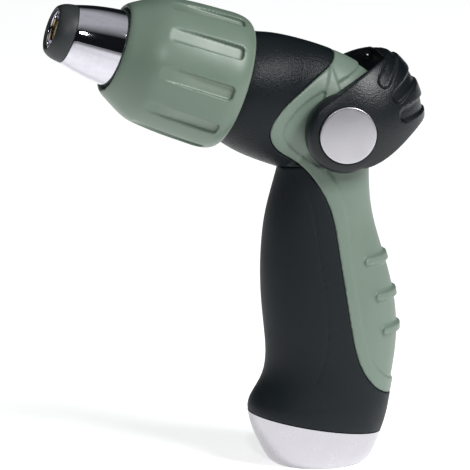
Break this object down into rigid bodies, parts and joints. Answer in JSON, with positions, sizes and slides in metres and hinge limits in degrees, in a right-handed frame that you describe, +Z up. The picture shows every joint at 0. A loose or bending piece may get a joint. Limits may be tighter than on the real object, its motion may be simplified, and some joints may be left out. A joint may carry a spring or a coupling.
{
  "type": "hose spray nozzle",
  "caption": "Hand-held garden hose nozzle with an upright handle, a thumb lever valve and a twist collar that slides the chrome nozzle tube.",
  "frame": {"origin": "centre of the hose inlet mouth, on the flat of the foot", "axes": "+Z up along the handle, +X forward on the side the water leaves, +Y to the left of the tool"},
  "size_m": [0.1391, 0.0496, 0.1727],
  "materials": {
    "core_nylon": "black glass-filled nylon, moulded",
    "barrel_black": "black ABS, fine matt texture",
    "grip_rubber": "black thermoplastic rubber, fine matt texture",
    "body_green": "grey-green ABS, satin",
    "collar_green": "grey-green soft-touch plastic, satin",
    "satin_silver": "satin silver plating on ABS",
    "chrome": "bright chrome plating on zinc",
    "brass": "turned brass",
    "seal_rubber": "black nitrile rubber",
    "tip_rubber": "black rubber, matt",
    "steel": "stainless steel",
    "acetal": "natural acetal",
    "lever_black": "black ABS, satin sheen"
  },
  "bodies": {
    "body": {"handle_core": "core_nylon", "barrel_shell": "barrel_black", "front_grip": "grip_rubber", "rear_panel": "body_green", "end_cap": "satin_silver", "hose_inlet": "brass", "hose_washer": "seal_rubber", "filter_screen": "steel", "jet_stem": "brass", "neck_o_ring": "seal_rubber", "collar_retaining_ring": "steel", "valve_seats": "acetal", "valve_bush_left": "acetal", "valve_bush_right": "acetal"},
    "lever": {"thumb_lever": "lever_black", "thumb_pad": "lever_black", "pivot_cap_left": "satin_silver", "pivot_cap_right": "satin_silver", "valve_plug": "brass", "plug_o_rings": "seal_rubber", "lever_screws": "steel", "lever_washers": "steel"},
    "collar": {"spray_collar": "collar_green", "drive_nut": "acetal"},
    "nozzle": {"nozzle_tube": "chrome", "tip_bumper": "tip_rubber", "jet_seat": "acetal"}
  },
  "joints": [
    {"name": "lever_swing", "type": "hinge", "parent": "body", "child": "lever", "pos_m": [-0.0059, 0, 0.1245], "axis": [0, 1, 0], "range_deg": [0, 35]},
    {"name": "collar_twist", "type": "hinge", "parent": "body", "child": "collar", "pos_m": [-0.0075, 0, 0.126], "axis": [0.9426, 0, 0.3338], "range_deg": [0, 240]},
    {"name": "nozzle_slide", "type": "slide", "parent": "body", "child": "nozzle", "axis": [0.9426, 0, 0.3338], "range_m": [0, 0.004]}
  ],
  "couplings": [
    {"joint": "nozzle_slide", "follows": "collar_twist", "m_per_rad": 0.000954}
  ]
}
